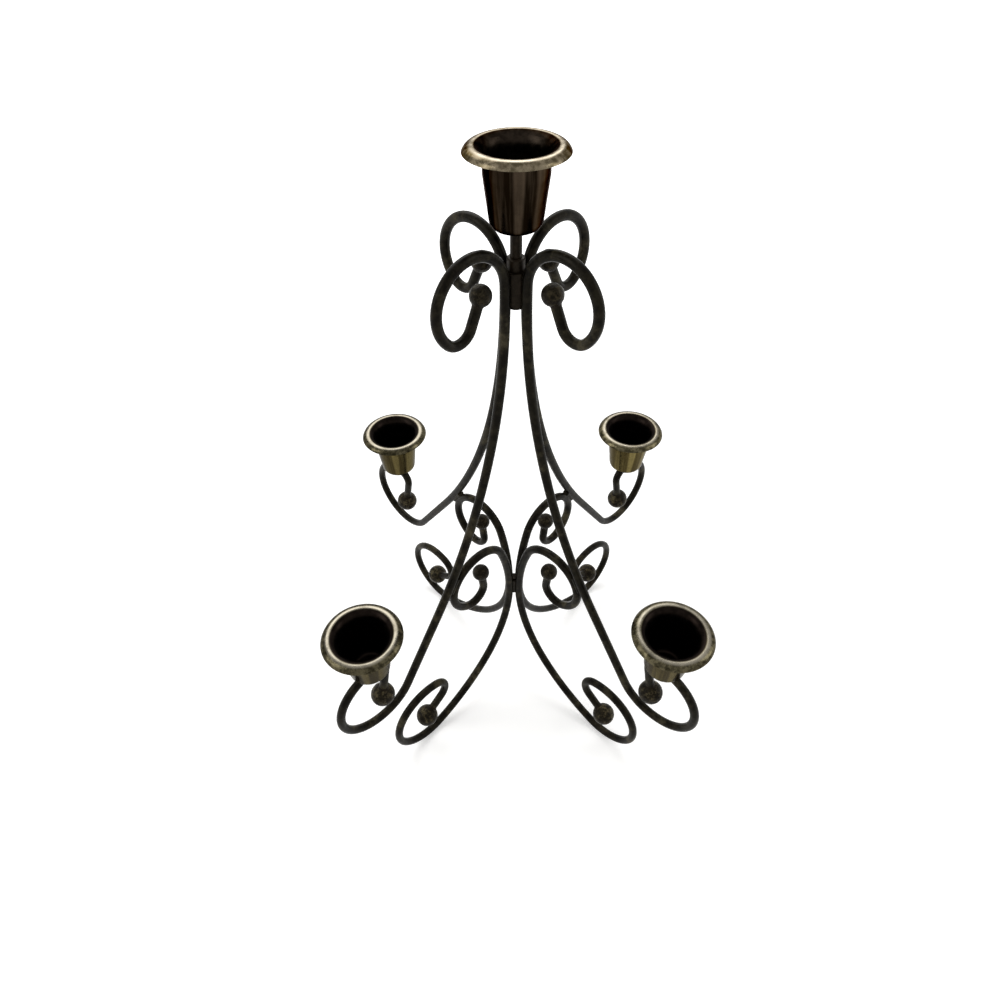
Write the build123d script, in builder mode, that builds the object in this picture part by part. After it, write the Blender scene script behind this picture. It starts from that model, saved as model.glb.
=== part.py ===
from build123d import *
from math import cos, radians, sin, sqrt
import os

os.makedirs("parts", exist_ok=True)

# Five-light table candelabra of bent round rod, in millimetres.
# The post stands on +Z at the origin and the feet touch the table at Z = 0.
# Four arms and four legs lie in the four upright planes between X and Y.

# Rod and brazing
rod_radius = 2.2
post_radius = 2.3
core_radius = 1.6
sleeve_radius = 3.65
braze_gap = 0.15
braze_clearance = 0.02
slip_clearance = 0.05
azimuths = {"front_left": 225, "front_right": 315, "back_right": 45, "back_left": 135}

# Leg, from the hub down to the foot and up to the upper scroll
leg_line = core_radius + braze_gap + rod_radius
hub_straight = 0.4
shin_radius = 75.0
shin_angle = 46.0
ankle_radius = 95.0
ankle_angle = 27.5
foot_radius = 22.3
foot_angle = 217.5
foot_hook_radius = 9.1
foot_hook_angle = 123.5
foot_tail = 14.3
thigh_radius = 105.0
thigh_angle = 20.1
scroll_radius = 18.1
scroll_angle = 221.5
scroll_hook_radius = 8.0
scroll_hook_angle = 125.5
scroll_tail = 11.6

# Arm, from the crown down to the cup loop and up to the crown scroll
arm_line = sleeve_radius + braze_gap + rod_radius
crown_straight = 4.0
stem_radius = 287.0
stem_angle = 34.6
arm_run = 44.8
loop_radius = 22.3
loop_angle = 240.5
loop_hook_radius = 6.0
loop_hook_angle = 98.0
loop_tail = 19.2
crown_radius = 17.6
crown_angle = 224.5
crown_hook_radius = 7.1
crown_hook_angle = 110.0
crown_tail = 13.1
weld_gap = 0.3
weld_radius = 1.9
weld_length = 9.0

# Balls on the rod ends
small_ball_radius = 4.5
large_ball_radius = 6.25
socket_end_gap = 0.3

# Candle cup, pressed from one round of sheet
sheet = 0.8
base_corner_radius = 3.0
wall_angle = 7.0
wall_length = 15.9
ease_radius = 12.0
throat_radius = 11.3
throat_length = 4.0
flare_radius = 5.0
flare_angle = 40.0
roll_radius = 3.4
roll_angle = 118.0

# Core, sleeve, pads and pins
cup_over_crown = 21.5
sleeve_length = 21.0
sleeve_below_straight = 7.0
sleeve_chamfer = 0.4
crown_braze_length = 14.0
crown_braze_radius = 4.9
hub_core_length = 12.0
hub_braze_length = 10.0
hub_braze_radius = 3.3
pad_radius = 4.6
pad_rise = 0.6
pad_depth = 1.2
pin_radius = 1.1
pin_head_radius = 2.8
pin_head_height = 1.1
pin_head_round = 0.8
pin_reach = 0.6

UPRIGHT = (Align.CENTER, Align.CENTER, Align.MIN)


def outward_plane(azimuth):
    """Upright plane through the post: local x runs outward and local y runs up."""
    outward = Vector(cos(radians(azimuth)), sin(radians(azimuth)), 0)
    return Plane(origin=(0, 0, 0), x_dir=outward, z_dir=outward.cross(Vector(0, 0, 1)))


def rise(radius, heading, turn):
    """Height gained on an anticlockwise arc that starts at a heading."""
    return radius * (cos(radians(heading)) - cos(radians(heading + turn)))


def rod_path(plane, out, low, high, low_steps, high_steps):
    """Upright straight beside the post, bent on from its lower and upper ends.

    A step is (radius, turn) for an arc or (None, length) for a straight.
    The two free ends come back with the direction that each one points in.
    """
    ends = []
    with BuildLine(plane) as run:
        middle = Line((out, low), (out, high))
        for start, side, steps in ((0, -1, low_steps), (1, 1, high_steps)):
            end = middle @ start
            heading = middle % start * side
            for radius, size in steps:
                if radius is None:
                    piece = PolarLine(end, size, direction=heading)
                else:
                    piece = JernArc(end, heading, radius, -side * size)
                end = piece @ 1
                heading = piece % 1
            ends.append((end, heading))
    return run.wire(), ends


def rod_solid(path, radius):
    """Round rod along a path."""
    with BuildPart() as rod:
        with BuildSketch(Plane(path @ 0, z_dir=path % 0)):
            Circle(radius)
        sweep(path=path)
    return rod.part


def export_piece(piece, name):
    """Label one finished piece and write it to its own file."""
    piece.label = name
    export_step(piece, f"parts/{name}.step")


def export_ball(name, radius, rod_end):
    """Ball centred on a rod's end, with a blind socket that takes the rod."""
    centre, heading = rod_end
    with BuildPart(Plane(centre, z_dir=heading * -1)) as ball:
        Sphere(radius)
        with Locations((0, 0, -socket_end_gap)):
            Cylinder(
                rod_radius + slip_clearance,
                radius + socket_end_gap,
                align=UPRIGHT,
                mode=Mode.SUBTRACT,
            )
    export_piece(ball.part, name)


# Heights that follow from the bends: the foot's lowest point is on the table.
hub_height = rod_radius + hub_straight / 2 - (
    rise(shin_radius, -90, shin_angle)
    + rise(ankle_radius, -90 + shin_angle, ankle_angle)
    + rise(foot_radius, -90 + shin_angle + ankle_angle, 90 - shin_angle - ankle_angle)
)

# Centre of the upper scroll of a leg, outward from the post and up from the table.
thigh_turn = radians(thigh_angle)
scroll_out = leg_line + thigh_radius * (1 - cos(thigh_turn)) + scroll_radius * cos(thigh_turn)
scroll_up = hub_height + hub_straight / 2 + (thigh_radius - scroll_radius) * sin(thigh_turn)

# The arm's long bend is tangent to that scroll, a weld gap away from it.
weld_reach = stem_radius + scroll_radius + 2 * rod_radius + weld_gap
stem_centre_out = arm_line + stem_radius
stem_height = scroll_up + sqrt(weld_reach**2 - (stem_centre_out - scroll_out) ** 2)
weld_out = (stem_centre_out - scroll_out) / weld_reach
weld_up = (stem_height - scroll_up) / weld_reach
weld_offset = scroll_radius + rod_radius + weld_gap / 2

# The cup stands over the middle of the arm's loop.
stem_turn = radians(stem_angle)
loop_over_stem = loop_radius - stem_radius
cup_out = stem_centre_out + loop_over_stem * cos(stem_turn) + arm_run * sin(stem_turn)
loop_up = stem_height + loop_over_stem * sin(stem_turn) - arm_run * cos(stem_turn)
crest_height = loop_up + loop_radius + rod_radius
arm_cup_height = crest_height + pad_rise

# Candle cup. Its sheet follows one middle line, half the sheet to each side.
wall_lean = radians(wall_angle)
throat_line = throat_radius + sheet / 2
base_flat_radius = throat_line - (
    base_corner_radius * cos(wall_lean)
    + wall_length * sin(wall_lean)
    + ease_radius * (1 - cos(wall_lean))
)
with BuildPart() as candle_cup:
    with BuildSketch(Plane.XZ):
        with BuildLine():
            floor = Line((pin_radius + slip_clearance, sheet / 2), (base_flat_radius, sheet / 2))
            corner = JernArc(floor @ 1, floor % 1, base_corner_radius, 90 - wall_angle)
            wall = PolarLine(corner @ 1, wall_length, direction=corner % 1)
            ease = JernArc(wall @ 1, wall % 1, ease_radius, wall_angle)
            throat = PolarLine(ease @ 1, throat_length, direction=ease % 1)
            flare = JernArc(throat @ 1, throat % 1, flare_radius, -flare_angle)
            JernArc(flare @ 1, flare % 1, roll_radius, -roll_angle)
        trace(line_width=sheet)
    revolve(axis=Axis.Z)


def export_cup(name, out, azimuth, height):
    """Candle cup with its base at a height, out from the post."""
    place = (out * cos(radians(azimuth)), out * sin(radians(azimuth)), height)
    with BuildPart() as cup:
        with Locations(place):
            add(candle_cup.part)
    export_piece(cup.part, name)


def export_pin(name, out, azimuth, body_radius, low, seat):
    """Round pin that stands up through a cup's base and ends in a domed head."""
    across = out * cos(radians(azimuth))
    along = out * sin(radians(azimuth))
    with BuildPart() as pin:
        with Locations((across, along, low)):
            Cylinder(body_radius, seat - low, align=UPRIGHT)
        with Locations((across, along, seat)):
            Cylinder(pin_radius, sheet, align=UPRIGHT)
        with Locations((across, along, seat + sheet)):
            Cylinder(pin_head_radius, pin_head_height, align=UPRIGHT)
        fillet(pin.edges().sort_by(Axis.Z)[-1], pin_head_round)
    export_piece(pin.part, name)


# Post, with the sleeve on its foot that the arms are brazed round
sleeve_low = stem_height - sleeve_below_straight
top_cup_height = stem_height + crown_straight + cup_over_crown
export_pin("post", 0, 0, post_radius, sleeve_low, top_cup_height)
export_cup("cup_top", 0, 0, top_cup_height)

with BuildPart(Plane.XY.offset(sleeve_low)) as core_sleeve:
    Cylinder(sleeve_radius, sleeve_length, align=UPRIGHT)
    chamfer(core_sleeve.edges().filter_by(GeomType.CIRCLE), sleeve_chamfer)
    Cylinder(
        post_radius + slip_clearance,
        sleeve_length,
        align=UPRIGHT,
        mode=Mode.SUBTRACT,
    )
export_piece(core_sleeve.part, "core_sleeve")

with BuildPart(Plane.XY.offset(hub_height)) as hub_core:
    Cylinder(core_radius, hub_core_length)
export_piece(hub_core.part, "hub_core")

# Arms and legs, each with a ball on both ends
arm_grooves = []
leg_grooves = []
for side, azimuth in azimuths.items():
    plane = outward_plane(azimuth)
    arm_path, arm_ends = rod_path(
        plane,
        arm_line,
        stem_height,
        stem_height + crown_straight,
        [
            (stem_radius, stem_angle),
            (None, arm_run),
            (loop_radius, loop_angle),
            (loop_hook_radius, loop_hook_angle),
            (None, loop_tail),
        ],
        [(crown_radius, crown_angle), (crown_hook_radius, crown_hook_angle), (None, crown_tail)],
    )
    leg_path, leg_ends = rod_path(
        plane,
        leg_line,
        hub_height - hub_straight / 2,
        hub_height + hub_straight / 2,
        [
            (shin_radius, shin_angle),
            (ankle_radius, ankle_angle),
            (foot_radius, foot_angle),
            (foot_hook_radius, foot_hook_angle),
            (None, foot_tail),
        ],
        [
            (thigh_radius, thigh_angle),
            (scroll_radius, scroll_angle),
            (scroll_hook_radius, scroll_hook_angle),
            (None, scroll_tail),
        ],
    )
    arm_groove = rod_solid(arm_path, rod_radius + braze_clearance)
    leg_groove = rod_solid(leg_path, rod_radius + braze_clearance)
    arm_grooves.append(arm_groove)
    leg_grooves.append(leg_groove)
    over_crest = plane.from_local_coords((cup_out, crest_height))
    pin_low = crest_height - rod_radius - pin_reach

    with BuildPart() as arm:
        add(rod_solid(arm_path, rod_radius))
        with Locations((over_crest.X, over_crest.Y, pin_low)):
            Cylinder(
                pin_radius + slip_clearance,
                2 * rod_radius,
                align=UPRIGHT,
                mode=Mode.SUBTRACT,
            )
    export_piece(arm.part, f"arm_{side}")
    export_piece(rod_solid(leg_path, rod_radius), f"leg_{side}")
    export_ball(f"cup_ball_{side}", large_ball_radius, arm_ends[0])
    export_ball(f"crown_ball_{side}", small_ball_radius, arm_ends[1])
    export_ball(f"foot_ball_{side}", large_ball_radius, leg_ends[0])
    export_ball(f"scroll_ball_{side}", small_ball_radius, leg_ends[1])

    export_cup(f"cup_{side}", cup_out, azimuth, arm_cup_height)
    export_pin(f"cup_pin_{side}", cup_out, azimuth, pin_radius, pin_low, arm_cup_height)
    with BuildPart() as cup_pad:
        with Locations((over_crest.X, over_crest.Y, arm_cup_height)):
            Cylinder(
                pad_radius,
                pad_rise + pad_depth,
                align=(Align.CENTER, Align.CENTER, Align.MAX),
            )
            Cylinder(
                pin_radius + slip_clearance,
                2 * (pad_rise + pad_depth),
                mode=Mode.SUBTRACT,
            )
        add(arm_groove, mode=Mode.SUBTRACT)
    export_piece(cup_pad.part, f"cup_pad_{side}")

    weld_centre = plane.from_local_coords(
        (scroll_out + weld_offset * weld_out, scroll_up + weld_offset * weld_up)
    )
    weld_heading = plane.x_dir * -weld_up + plane.y_dir * weld_out
    with BuildPart() as arm_weld:
        with Locations(Plane(weld_centre, z_dir=weld_heading)):
            Cylinder(weld_radius, weld_length)
        add(arm_groove, mode=Mode.SUBTRACT)
        add(leg_groove, mode=Mode.SUBTRACT)
    export_piece(arm_weld.part, f"arm_weld_{side}")


def export_braze(name, middle, length, inner, outer, grooves):
    """Brazed ring round a core, with a groove for each rod that lies against it."""
    with BuildPart() as braze:
        with BuildSketch(Plane.XY.offset(middle - length / 2)):
            Circle(outer)
            Circle(inner + braze_clearance, mode=Mode.SUBTRACT)
        extrude(amount=length)
        for groove in grooves:
            add(groove, mode=Mode.SUBTRACT)
    export_piece(braze.part, name)


export_braze(
    "crown_braze",
    stem_height + crown_straight / 2,
    crown_braze_length,
    sleeve_radius,
    crown_braze_radius,
    arm_grooves,
)
export_braze("hub_braze", hub_height, hub_braze_length, core_radius, hub_braze_radius, leg_grooves)
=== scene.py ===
import math

import bmesh
import bpy
import numpy as np
from mathutils import Matrix, Vector, noise


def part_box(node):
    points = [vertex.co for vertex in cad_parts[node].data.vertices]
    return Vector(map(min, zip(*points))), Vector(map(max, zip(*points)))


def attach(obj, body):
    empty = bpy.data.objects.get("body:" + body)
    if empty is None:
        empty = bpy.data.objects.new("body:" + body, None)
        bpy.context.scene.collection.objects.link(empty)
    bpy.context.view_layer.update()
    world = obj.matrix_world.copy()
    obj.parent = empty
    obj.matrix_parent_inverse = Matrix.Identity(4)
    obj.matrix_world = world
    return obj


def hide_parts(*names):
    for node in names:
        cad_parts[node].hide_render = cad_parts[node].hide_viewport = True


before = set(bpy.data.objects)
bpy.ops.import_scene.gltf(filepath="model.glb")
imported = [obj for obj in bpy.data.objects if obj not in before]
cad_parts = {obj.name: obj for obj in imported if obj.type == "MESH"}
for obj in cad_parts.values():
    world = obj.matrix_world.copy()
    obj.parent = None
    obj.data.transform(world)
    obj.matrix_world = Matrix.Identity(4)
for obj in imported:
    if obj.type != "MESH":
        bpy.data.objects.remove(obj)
for leftover in ("Cube", "Light", "Camera"):
    if leftover in bpy.data.objects:
        bpy.data.objects.remove(bpy.data.objects[leftover])
bpy.context.view_layer.update()


def colour(red, green, blue):
    """Opaque linear colour."""
    return (red, green, blue, 1.0)


MM = 0.001
BODY = "root"

# Camera, placed from the photograph: millimetres over the table, and degrees
CAMERA_PLACE = (-5.74, -244.63, 407.05)
CAMERA_DOWN = 44.89
CAMERA_YAW = -0.81
CAMERA_ROLL = -1.163
PHOTO_PIXELS = 1000
FOCAL_PIXELS = 690.0
CENTRE_PIXELS = (-3.75, -17.80)
SENSOR = 36.0

# Cast balls, in millimetres: lumps all over, and pits in patches
LUMP_SIZE, LUMP_DEPTH = 2.4, 0.10
PIT_SPACING, PIT_DEPTH = 1.15, 0.20
PIT_EDGE, PIT_FLOOR = 0.42, 0.10
PIT_PATCH_SIZE = 3 * LUMP_SIZE
PIT_PATCH = (-0.15, 0.35)
LUMP_OCTAVES = 4
SMALL_BALL_DIVISIONS, LARGE_BALL_DIVISIONS = 5, 6

# Braze fillet where a rod enters its ball, in millimetres
ROD_RADIUS = 2.2
FILLET_SIZE = 0.8
FILLET_CORNER = 0.06
FILLET_IN_ROD, FILLET_IN_BALL, FILLET_ROOT = 0.03, 0.12, 0.4
FILLET_SWELL, FILLET_SWELL_SIZE = 0.05, 1.3
FILLET_TURNS = 40
FILLET_STEPS = 7

# Zones of a cup, in millimetres: radii from its axis, and heights over its base.
# A zone runs from where it starts to show to where it is full.
WALL_RADIUS = 13.0
ROLL_RADII, ROLL_HEIGHTS = (14.2, 15.2), (22.8, 25.0)
CREST_RADIUS, CREST_REACH, CREST_HEIGHTS = 15.65, (1.6, 0.1), (27.4, 28.3)
# The inside wall and the floor of a cup are painted with shade in these zones
INSIDE_SHADE_RADII, FLOOR_RADII = (15.2, 14.3), (11.2, 10.8)
INSIDE_SHADE_FACING, FLOOR_FACING = (-0.0005, -0.0025), (0.05, 0.2)

# Height counts this little in the noise of the wall, so its painted reflection bands run down it
BAND_SQUASH = 0.07

# Finishes, each from its dark shade to its lighter one; on the rods the lighter shade and patches are
# partly rubbing and partly painted highlight
LACQUER = colour(0.0018, 0.0015, 0.0010), colour(0.0115, 0.0098, 0.0060)
LACQUER_WEAR_AND_HIGHLIGHT = colour(0.0560, 0.0480, 0.0290)
# The balls' pits are painted darker as shade, and their lighter shades are partly painted highlight
BALL_DARK, BALL_PIT_SHADE = colour(0.0040, 0.0029, 0.0015), colour(0.0020, 0.0013, 0.0006)
LARGE_BALL_WORN_AND_HIGHLIGHT = colour(0.074, 0.060, 0.032)
SMALL_BALL_WORN_AND_HIGHLIGHT = colour(0.034, 0.027, 0.015)
BRAZE = colour(0.0034, 0.0022, 0.0013), colour(0.0110, 0.0072, 0.0042)
# The pin is painted dark all over, as the shade deep in its cup
PIN = colour(0.0020, 0.0015, 0.0010), colour(0.0060, 0.0045, 0.0030)

# The top cup's wall is painted darker than the arm cups' walls as a darker reflection; the lighter
# shade of each wall makes its painted reflection bands
TOP_BODY = colour(0.0040, 0.0023, 0.0011), colour(0.042, 0.030, 0.020)
TOP_ROLL = colour(0.060, 0.049, 0.028), colour(0.180, 0.150, 0.102)
# The crest colour is partly rubbed metal and partly painted highlight
TOP_CREST = colour(0.47, 0.425, 0.34)
# Painted shade inside the cup
TOP_INSIDE_SHADE = colour(0.0080, 0.0058, 0.0042), colour(0.0190, 0.0142, 0.0104)
# A grey edge tint darkens the grazing reflections, as painted shade along the outline
TOP_EDGE = colour(0.34, 0.31, 0.30)

# The lighter shade of the arm cups' walls makes their painted reflection bands
ARM_BODY = colour(0.030, 0.0225, 0.0078), colour(0.108, 0.086, 0.033)
ARM_ROLL = colour(0.017, 0.0147, 0.0076), colour(0.090, 0.078, 0.046)
# The crest colour is partly rubbed metal and partly painted highlight
ARM_CREST = colour(0.235, 0.213, 0.168)
# Painted shade inside the cup
ARM_INSIDE_SHADE = colour(0.0052, 0.0037, 0.0030), colour(0.0095, 0.0068, 0.0054)
# A grey edge tint darkens the grazing reflections, as painted shade along the outline
ARM_EDGE = colour(0.60, 0.60, 0.60)

# How bright each arm cup's wall and roll are painted: lit and shaded copies of one finish
CUP_LIGHT_LEVEL = {"front_left": 0.82, "front_right": 1.22, "back_right": 1.70, "back_left": 1.05}

# Studio, in metres and watts. White is seen, and less of it lights the object.
FLOOR_REACH = 4.0
FLOOR_COLOUR = colour(0.86, 0.855, 0.845)
SEEN_WHITE = colour(1.0, 1.0, 0.995)
LIFT_FROM, LIFT_TO = 0.3, 0.9
LIFT_NEAR, LIFT_FAR = 0.34, 0.9
WORLD_LIGHT, WORLD_SEEN = 0.56, 1.0
LIGHT_AIM = (0, 0, 0.15)
SOFTBOXES = (
    ("softbox_back", (-0.25, 1.0, 1.2), (1.4, 0.8), 12),
    ("softbox_left", (-1.15, -0.35, 0.9), (0.5, 1.0), 7),
    ("softbox_right", (1.2, -0.1, 0.8), (0.35, 0.9), 4),
)


def add_camera():
    """Camera at the photograph's angle, with the small shift of its framing."""
    data = bpy.data.cameras.new("photo_camera")
    data.sensor_width = SENSOR
    data.lens = FOCAL_PIXELS * SENSOR / PHOTO_PIXELS
    data.shift_x = -CENTRE_PIXELS[0] / PHOTO_PIXELS
    data.shift_y = CENTRE_PIXELS[1] / PHOTO_PIXELS
    data.clip_start = 0.01
    data.clip_end = 50
    camera = bpy.data.objects.new("photo_camera", data)
    bpy.context.scene.collection.objects.link(camera)
    down, yaw = math.radians(CAMERA_DOWN), math.radians(CAMERA_YAW)
    ahead = Vector((math.sin(yaw) * math.cos(down), math.cos(yaw) * math.cos(down), -math.sin(down)))
    right = Vector((math.cos(yaw), -math.sin(yaw), 0))
    up = right.cross(ahead)
    turn = Matrix((right, up, -ahead)).transposed().to_4x4()
    roll = Matrix.Rotation(math.radians(CAMERA_ROLL), 4, "Z")
    camera.matrix_world = Matrix.Translation(Vector(CAMERA_PLACE) * MM) @ turn @ roll
    bpy.context.scene.camera = camera


class Nodes:
    """Short calls that build one node tree."""

    def __init__(self, tree):
        self.tree = tree

    def join(self, value, socket):
        """Give a socket a value, or another node's output."""
        if isinstance(value, bpy.types.NodeSocket):
            self.tree.links.new(value, socket)
        else:
            socket.default_value = value

    def node(self, kind, inputs=(), **settings):
        """A new node, with its inputs by name or number."""
        made = self.tree.nodes.new(kind)
        for name, value in settings.items():
            setattr(made, name, value)
        for key, value in dict(inputs).items():
            self.join(value, made.inputs[key])
        return made

    def math(self, operation, a, b=0.0, c=0.0):
        """One sum on two or three numbers."""
        made = self.node("ShaderNodeMath", {0: a, 1: b, 2: c}, operation=operation)
        return made.outputs[0]

    def ramp(self, value, low, high, out_low=0.0, out_high=1.0, kind="LINEAR"):
        """Change from one number to another as a value goes from low to high."""
        ends = {"From Min": low, "From Max": high, "To Min": out_low, "To Max": out_high}
        made = self.node("ShaderNodeMapRange", {"Value": value, **ends}, interpolation_type=kind)
        return made.outputs["Result"]

    def seen_ray(self):
        """1 for a ray that the viewer sees straight, mirrored or through glass."""
        path = self.node("ShaderNodeLightPath").outputs
        straight_or_mirrored = self.math("MAXIMUM", path["Is Camera Ray"], path["Is Glossy Ray"])
        return self.math("MAXIMUM", straight_or_mirrored, path["Is Transmission Ray"])


class Finish(Nodes):
    """A procedural material. Its sizes and depths are in millimetres."""

    def __init__(self, name):
        self.material = bpy.data.materials.new(name)
        self.material.use_nodes = True
        super().__init__(self.material.node_tree)
        self.shader = self.tree.nodes["Principled BSDF"]
        self.place = self.node("ShaderNodeTexCoord").outputs["Object"]

    def noise(self, size, place=None, detail=4.0, rough=0.55):
        """Noise from 0 to 1 whose lumps are about this size."""
        look = {"Scale": 1 / (size * MM), "Detail": detail, "Roughness": rough}
        return self.node("ShaderNodeTexNoise", {"Vector": place or self.place, **look}).outputs["Fac"]

    def step(self, value, low, high, out_low=0.0, out_high=1.0):
        """Smooth change between two numbers."""
        return self.ramp(value, low, high, out_low, out_high, kind="SMOOTHSTEP")

    def zone(self, value, ends):
        """Smooth share, from where a zone in millimetres starts to where it is full."""
        return self.step(value, ends[0] * MM, ends[1] * MM)

    def mix(self, share, first, second):
        """Blend of two colours."""
        inputs = {"Factor": share, "A": first, "B": second}
        made = self.node("ShaderNodeMix", data_type="RGBA")
        for socket in made.inputs:
            if socket.name in inputs and socket.type in ("VALUE", "RGBA") and socket.enabled:
                self.join(inputs[socket.name], socket)
        return next(output for output in made.outputs if output.type == "RGBA" and output.enabled)

    def bump(self, height, depth, strength=1.0, under=None):
        """Relief of a given depth, over another one if given."""
        inputs = {"Height": height, "Distance": depth * MM, "Strength": strength}
        if under:
            inputs["Normal"] = under
        return self.node("ShaderNodeBump", inputs).outputs["Normal"]

    def feed(self, **sockets):
        """Values and links of the shader."""
        for name, value in sockets.items():
            self.join(value, self.shader.inputs[name.replace("_", " ")])


def lacquered_rod():
    """Dark bronze lacquer on drawn rod: satin, a little uneven, with faint lighter patches that are
    partly rubbing and partly painted highlight.
    """
    f = Finish("dark_bronze_lacquer")
    cloud = f.step(f.noise(4.5, detail=6, rough=0.65), 0.40, 0.64)
    patch = f.step(f.noise(16, detail=7, rough=0.65), 0.50, 0.68)
    share = f.math("MULTIPLY", patch, f.math("MULTIPLY_ADD", cloud, 0.6, 0.4))
    base = f.mix(share, f.mix(cloud, *LACQUER), LACQUER_WEAR_AND_HIGHLIGHT)
    ripple = f.bump(f.noise(3.4, detail=2), depth=0.14, strength=0.5)
    relief = f.bump(f.noise(0.5, detail=3), depth=0.03, strength=0.45, under=ripple)
    f.feed(Base_Color=base, Roughness=f.step(f.noise(4), 0.3, 0.7, 0.28, 0.42), Normal=relief)
    f.feed(Specular_IOR_Level=0.06, Specular_Tint=colour(1.0, 0.92, 0.76))
    return f.material


def cast_ball(name, bright):
    """Lacquered ball, browner and brighter on its high spots, partly rubbing and partly painted
    highlight, and painted dark in its pits as shade.
    """
    f = Finish(name)
    cells = f.node("ShaderNodeTexVoronoi", {"Vector": f.place, "Scale": 1 / MM})
    away = f.step(cells.outputs["Distance"], 0.12, 0.5)
    high = f.math("MULTIPLY", away, f.step(f.noise(1.9), 0.34, 0.6))
    cloud = f.step(f.noise(3.2, detail=6, rough=0.65), 0.38, 0.66)
    base = f.mix(high, BALL_PIT_SHADE, f.mix(cloud, BALL_DARK, bright))
    grain = f.bump(f.noise(0.7, detail=5, rough=0.65), depth=0.06, strength=0.7)
    relief = f.bump(high, depth=0.10, strength=0.8, under=grain)
    f.feed(Base_Color=base, Roughness=f.step(cloud, 0, 1, 0.46, 0.32), Normal=relief)
    f.feed(Specular_IOR_Level=0.08, Specular_Tint=colour(1.0, 0.90, 0.70))
    return f.material


def braze_metal():
    """Lumpy braze under the lacquer, a little browner than the rod."""
    f = Finish("brazed_bronze_lacquer")
    cloud = f.step(f.noise(2.4, detail=5), 0.35, 0.7)
    relief = f.bump(f.noise(1.1, detail=4), depth=0.18, strength=0.7)
    f.feed(Base_Color=f.mix(cloud, *BRAZE), Roughness=f.step(cloud, 0, 1, 0.5, 0.36), Normal=relief)
    f.feed(Specular_IOR_Level=0.09, Specular_Tint=colour(1.0, 0.88, 0.70))
    return f.material


def dark_pin():
    """Riveted head deep in a cup, painted dark as the shade inside the cup."""
    f = Finish("shaded_brass_pin")
    inside_shade = f.step(f.noise(1.6, detail=5), 0.35, 0.65)
    relief = f.bump(f.noise(0.8), depth=0.05, strength=0.5)
    f.feed(Base_Color=f.mix(inside_shade, *PIN), Roughness=0.75, Normal=relief)
    f.feed(Specular_IOR_Level=0.04)
    return f.material


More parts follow.
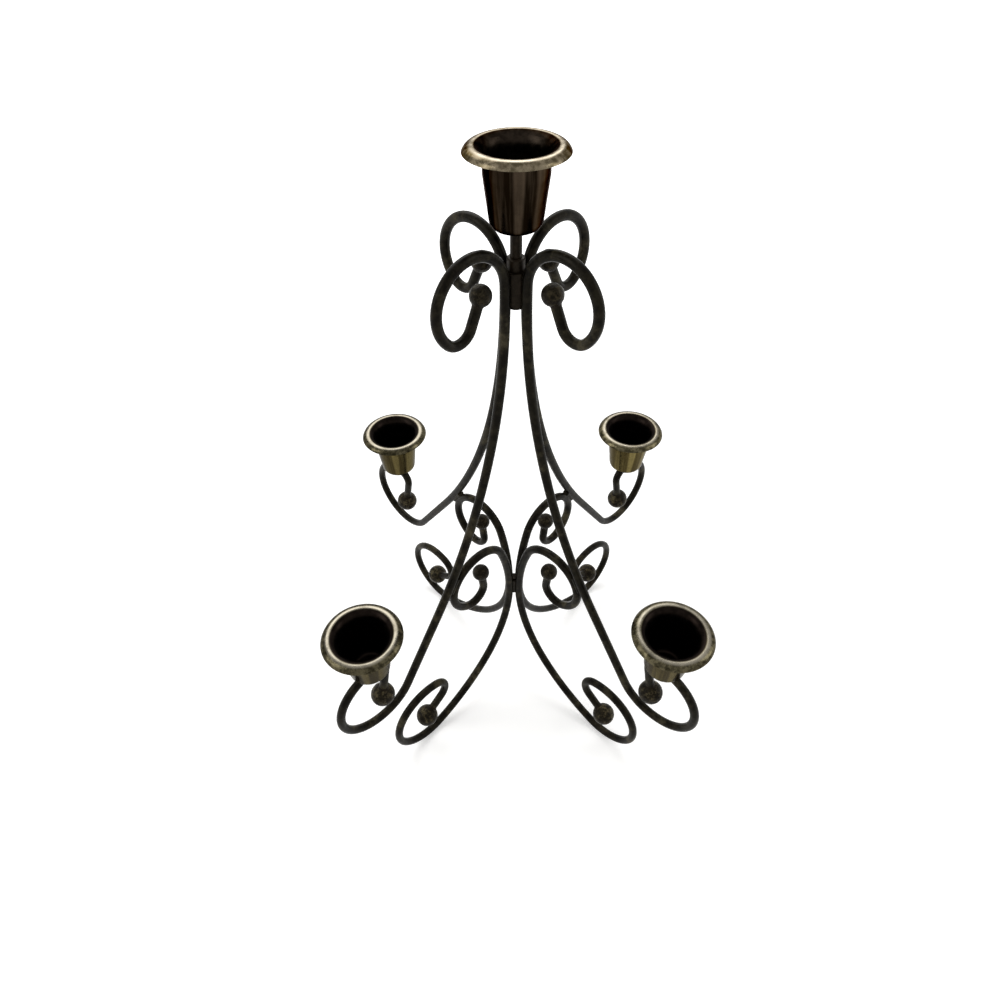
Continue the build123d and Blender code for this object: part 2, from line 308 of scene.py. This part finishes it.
def cup_metal(name, node, body, roll, crest, inside_shade, edge):
    """Antiqued brass sheet: painted shade inside, painted reflection bands on the wall, and a crest
    rubbed bright and painted brighter as a highlight.
    """
    f = Finish(name)
    low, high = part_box(node)
    centre = (low + high) / 2
    base_centre = (centre.x, centre.y, low.z)
    local = f.node("ShaderNodeVectorMath", {0: f.place, 1: base_centre}, operation="SUBTRACT")
    across, along, up = f.node("ShaderNodeSeparateXYZ", {"Vector": local.outputs["Vector"]}).outputs
    squares = f.math("MULTIPLY", across, across), f.math("MULTIPLY", along, along)
    radius = f.math("SQRT", f.math("ADD", *squares))

    # Painted reflection bands and lines run down the wall: the noise is read round the cup, and hardly
    # on its height
    angle = f.math("ARCTAN2", along, across)
    round_x = f.math("MULTIPLY", f.math("COSINE", angle), WALL_RADIUS * MM)
    round_y = f.math("MULTIPLY", f.math("SINE", angle), WALL_RADIUS * MM)
    squashed = f.math("MULTIPLY", up, BAND_SQUASH)
    wall = f.node("ShaderNodeCombineXYZ", {0: round_x, 1: round_y, 2: squashed}).outputs[0]
    reflection_band = f.step(f.noise(7.5, wall, detail=2, rough=0.6), 0.42, 0.58)
    reflection_line = f.step(f.noise(1.6, wall, detail=3, rough=0.6), 0.44, 0.64)
    cloud = f.step(f.noise(4.5, detail=6, rough=0.62), 0.36, 0.7)
    base = f.mix(f.math("MULTIPLY_ADD", reflection_line, 0.25, f.math("MULTIPLY", reflection_band, 0.75)), *body)
    base = f.mix(f.math("MULTIPLY", cloud, 0.25), base, body[0])

    # The rolled rim is olive and mottled, and its crest is rubbed to bare metal and painted brighter
    # as a highlight
    rolled = f.math("MULTIPLY", f.zone(up, ROLL_HEIGHTS), f.zone(radius, ROLL_RADII))
    mottle = f.step(f.noise(3.2, detail=6, rough=0.65), 0.36, 0.66)
    base = f.mix(rolled, base, f.mix(mottle, *roll))
    from_crest = f.math("ABSOLUTE", f.math("SUBTRACT", radius, CREST_RADIUS * MM))
    on_crest = f.math("MULTIPLY", f.zone(from_crest, CREST_REACH), f.zone(up, CREST_HEIGHTS))
    rub_and_highlight = f.math("MULTIPLY", on_crest, f.step(f.noise(7, detail=5), 0.25, 0.6, 0.4, 1.0))
    base = f.mix(rub_and_highlight, base, crest)

    # Painted shade darkens the wall inside, right up to the crest, and the floor
    normal = f.node("ShaderNodeNewGeometry").outputs["Normal"]
    outward = f.node("ShaderNodeCombineXYZ", {0: across, 1: along}).outputs[0]
    product = f.node("ShaderNodeVectorMath", {0: normal, 1: outward}, operation="DOT_PRODUCT")
    facing_in = f.step(product.outputs["Value"], *INSIDE_SHADE_FACING)
    wall_in = f.math("MULTIPLY", facing_in, f.zone(radius, INSIDE_SHADE_RADII))
    facing_up = f.step(f.node("ShaderNodeSeparateXYZ", {"Vector": normal}).outputs["Z"], *FLOOR_FACING)
    floor_in = f.math("MULTIPLY", facing_up, f.zone(radius, FLOOR_RADII))
    inside = f.math("MAXIMUM", wall_in, floor_in)
    base = f.mix(inside, base, f.mix(mottle, *inside_shade))

    # Fine turned lines round the rim and the wall, over a few shallow dents
    turned = f.node("ShaderNodeCombineXYZ", {0: radius, 2: up}).outputs[0]
    dents = f.bump(f.noise(6, detail=2), depth=0.12, strength=0.45)
    relief = f.bump(f.noise(0.4, turned, detail=3), depth=0.012, strength=0.35, under=dents)
    rough = f.math("ADD", f.step(mottle, 0, 1, 0.20, 0.32), f.math("MULTIPLY", inside, 0.08))
    f.feed(Base_Color=base, Metallic=1.0, Roughness=rough, Normal=relief, Specular_Tint=edge)
    return f.material


def lit_copy(share, shades):
    """The same colours, brighter or darker by a share: a painted lit or shaded copy."""
    return [colour(*(share * part for part in shade[:3])) for shade in shades]


def give(node, material):
    """One material on a carried-over node."""
    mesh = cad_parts[node].data
    mesh.materials.clear()
    mesh.materials.append(material)
    for face in mesh.polygons:
        face.material_index = 0


def smooth_share(value, low, high):
    """Smooth share from 0 at one end to 1 at the other."""
    share = min(max((value - low) / (high - low), 0.0), 1.0)
    return share * share * (3 - 2 * share)


def add_piece(name, bm, finish):
    """Finished mesh piece that rides on the part."""
    bmesh.ops.recalc_face_normals(bm, faces=bm.faces)
    for face in bm.faces:
        face.smooth = True
    mesh = bpy.data.meshes.new(name)
    bm.to_mesh(mesh)
    bm.free()
    mesh.materials.append(finish)
    piece = bpy.data.objects.new(name, mesh)
    bpy.context.scene.collection.objects.link(piece)
    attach(piece, BODY)
    return piece


def ball_on_rod(node):
    """Centre and radius of a CAD ball in metres, and the direction its rod comes from."""
    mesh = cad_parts[node].data
    corners = np.array([vertex.co[:] for vertex in mesh.vertices])
    low, high = corners.min(axis=0), corners.max(axis=0)
    radius = (high - low).max() / 2
    nearly = 0.93 * radius

    # Least squares on the corners that lie on the sphere, without those of the socket
    off = np.linalg.norm(corners - (low + high) / 2, axis=1)
    shell = corners[off > nearly]
    terms = np.hstack([2 * shell, np.ones((len(shell), 1))])
    centre = Vector(np.linalg.lstsq(terms, (shell**2).sum(axis=1), rcond=None)[0][:3])

    # The sphere's faces all balance out, but for the disc that the rod's socket takes away
    missing = Vector()
    for face in mesh.polygons:
        out = face.center - centre
        if out.length > nearly and face.normal.dot(out) > 0:
            missing -= face.normal * face.area
    return centre, float(radius), missing.normalized()


def add_cast_ball(node, finish, divisions):
    """Ball with real casting lumps and pits, in place of the smooth CAD ball."""
    centre, radius, _ = ball_on_rod(node)
    bm = bmesh.new()
    bmesh.ops.create_icosphere(bm, subdivisions=divisions, radius=radius)
    for vertex in bm.verts:
        out = vertex.co.normalized()
        place = (centre + vertex.co) / MM
        lump = 0.5 + 0.5 * noise.fractal(place / LUMP_SIZE, 1.0, 2.0, LUMP_OCTAVES)
        nearest = noise.voronoi(place / PIT_SPACING)[0][0]
        pitted = smooth_share(noise.noise(place / PIT_PATCH_SIZE), *PIT_PATCH)
        pit = pitted * smooth_share(nearest, PIT_EDGE, PIT_FLOOR)
        sink = LUMP_DEPTH * min(max(lump, 0.0), 1.0) + PIT_DEPTH * pit
        vertex.co = centre + out * (radius - sink * MM)
    ball = add_piece(f"cast_{node}", bm, finish)
    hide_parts(node)


def fillet_profile(ball_radius):
    """Closed section of a fillet in millimetres: along the rod from the ball's centre, and out."""
    touch = math.sqrt(ball_radius**2 - ROD_RADIUS**2)
    spread = math.asin(ROD_RADIUS / ball_radius) + FILLET_SIZE / ball_radius
    on_rod = Vector((touch + FILLET_SIZE, ROD_RADIUS - FILLET_IN_ROD))
    corner = Vector((touch, ROD_RADIUS + FILLET_CORNER))
    on_ball = Vector((math.cos(spread), math.sin(spread))) * (ball_radius - FILLET_IN_BALL)
    profile = []
    for step in range(FILLET_STEPS):
        share = step / (FILLET_STEPS - 1)
        rest = 1 - share
        profile.append(on_rod * rest**2 + corner * 2 * share * rest + on_ball * share**2)
    profile.append(Vector((touch - FILLET_SIZE, ROD_RADIUS - FILLET_ROOT)))
    return profile


def add_fillet(node, finish):
    """Small lumpy ring of braze where the rod enters its ball."""
    centre, radius, axis = ball_on_rod(node)
    across = axis.orthogonal().normalized()
    along = axis.cross(across)
    profile = fillet_profile(radius / MM)
    bm = bmesh.new()
    rings = []
    for turn in range(FILLET_TURNS):
        angle = 2 * math.pi * turn / FILLET_TURNS
        side = across * math.cos(angle) + along * math.sin(angle)
        place = (centre + side * ROD_RADIUS * MM) / (FILLET_SWELL_SIZE * MM)
        swell = 1 + FILLET_SWELL * noise.noise(place)
        ring = []
        for index, point in enumerate(profile):
            bulge = swell if 0 < index < FILLET_STEPS - 1 else 1.0
            ring.append(bm.verts.new(centre + (axis * point.x + side * point.y * bulge) * MM))
        rings.append(ring)
    for turn in range(FILLET_TURNS):
        here, after = rings[turn], rings[(turn + 1) % FILLET_TURNS]
        for index in range(len(profile)):
            other = (index + 1) % len(profile)
            bm.faces.new((here[index], here[other], after[other], after[index]))
    add_piece(f"fillet_{node}", bm, finish)


def add_softbox(name, place, size, power):
    """Rectangular soft light that points at the object."""
    data = bpy.data.lights.new(name, "AREA")
    data.shape = "RECTANGLE"
    data.size, data.size_y = size
    data.energy = power
    light = bpy.data.objects.new(name, data)
    bpy.context.scene.collection.objects.link(light)
    light.location = place
    light.rotation_mode = "QUATERNION"
    light.rotation_quaternion = (Vector(place) - Vector(LIGHT_AIM)).to_track_quat("Z", "Y")


def add_studio():
    """Pale floor, white surround and soft lights."""
    reach = FLOOR_REACH
    corners = [(-reach, -reach, 0), (reach, -reach, 0), (reach, reach, 0), (-reach, reach, 0)]
    mesh = bpy.data.meshes.new("studio_floor")
    mesh.from_pydata(corners, [], [(0, 1, 2, 3)])
    floor = bpy.data.objects.new("studio_floor", mesh)
    bpy.context.scene.collection.objects.link(floor)

    # The floor is lifted to white only as seen, and more so away from the object's shadow
    f = Finish("pale_floor")
    away = f.node("ShaderNodeVectorMath", {0: f.place}, operation="LENGTH").outputs["Value"]
    lift = f.ramp(away, LIFT_FROM, LIFT_TO, LIFT_NEAR, LIFT_FAR)
    f.feed(Base_Color=FLOOR_COLOUR, Roughness=0.9, Specular_IOR_Level=0.0)
    f.feed(Emission_Color=SEEN_WHITE, Emission_Strength=f.math("MULTIPLY", f.seen_ray(), lift))
    mesh.materials.append(f.material)

    world = bpy.data.worlds.new("studio")
    bpy.context.scene.world = world
    world.use_nodes = True
    sky = Nodes(world.node_tree)
    surround = world.node_tree.nodes["Background"].inputs
    sky.join(SEEN_WHITE, surround["Color"])
    sky.join(sky.ramp(sky.seen_ray(), 0.0, 1.0, WORLD_LIGHT, WORLD_SEEN), surround["Strength"])

    for softbox in SOFTBOXES:
        add_softbox(*softbox)


rod_finish = lacquered_rod()
braze_finish = braze_metal()
pin_finish = dark_pin()
large_ball_finish = cast_ball("pitted_lacquer_large", LARGE_BALL_WORN_AND_HIGHLIGHT)
small_ball_finish = cast_ball("pitted_lacquer_small", SMALL_BALL_WORN_AND_HIGHLIGHT)
for name in sorted(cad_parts):
    if name.startswith(("crown_ball", "scroll_ball")):
        give(name, small_ball_finish)
        add_cast_ball(name, small_ball_finish, SMALL_BALL_DIVISIONS)
        add_fillet(name, braze_finish)
    elif name.startswith(("cup_ball", "foot_ball")):
        give(name, large_ball_finish)
        add_cast_ball(name, large_ball_finish, LARGE_BALL_DIVISIONS)
        add_fillet(name, braze_finish)
    elif name.startswith(("crown_braze", "hub_", "core_sleeve", "post")):
        give(name, braze_finish)
    elif name.startswith("cup_pin"):
        give(name, pin_finish)
    elif name.startswith(("arm_", "leg_", "cup_pad")):
        give(name, rod_finish)

top_cup = cup_metal("antiqued_brass_top", "cup_top", TOP_BODY, TOP_ROLL, TOP_CREST, TOP_INSIDE_SHADE, TOP_EDGE)
give("cup_top", top_cup)
# Each arm cup's finish is a brighter or darker copy of one finish: painted light and shade
for side, light_level in CUP_LIGHT_LEVEL.items():
    arm_cup = cup_metal(
        f"antiqued_brass_{side}",
        f"cup_{side}",
        body=lit_copy(light_level, ARM_BODY),
        roll=lit_copy(math.sqrt(light_level), ARM_ROLL),
        crest=ARM_CREST,
        inside_shade=ARM_INSIDE_SHADE,
        edge=ARM_EDGE,
    )
    give(f"cup_{side}", arm_cup)

add_studio()
add_camera()
bpy.context.scene.view_settings.view_transform = "Standard"

bpy.context.view_layer.update()
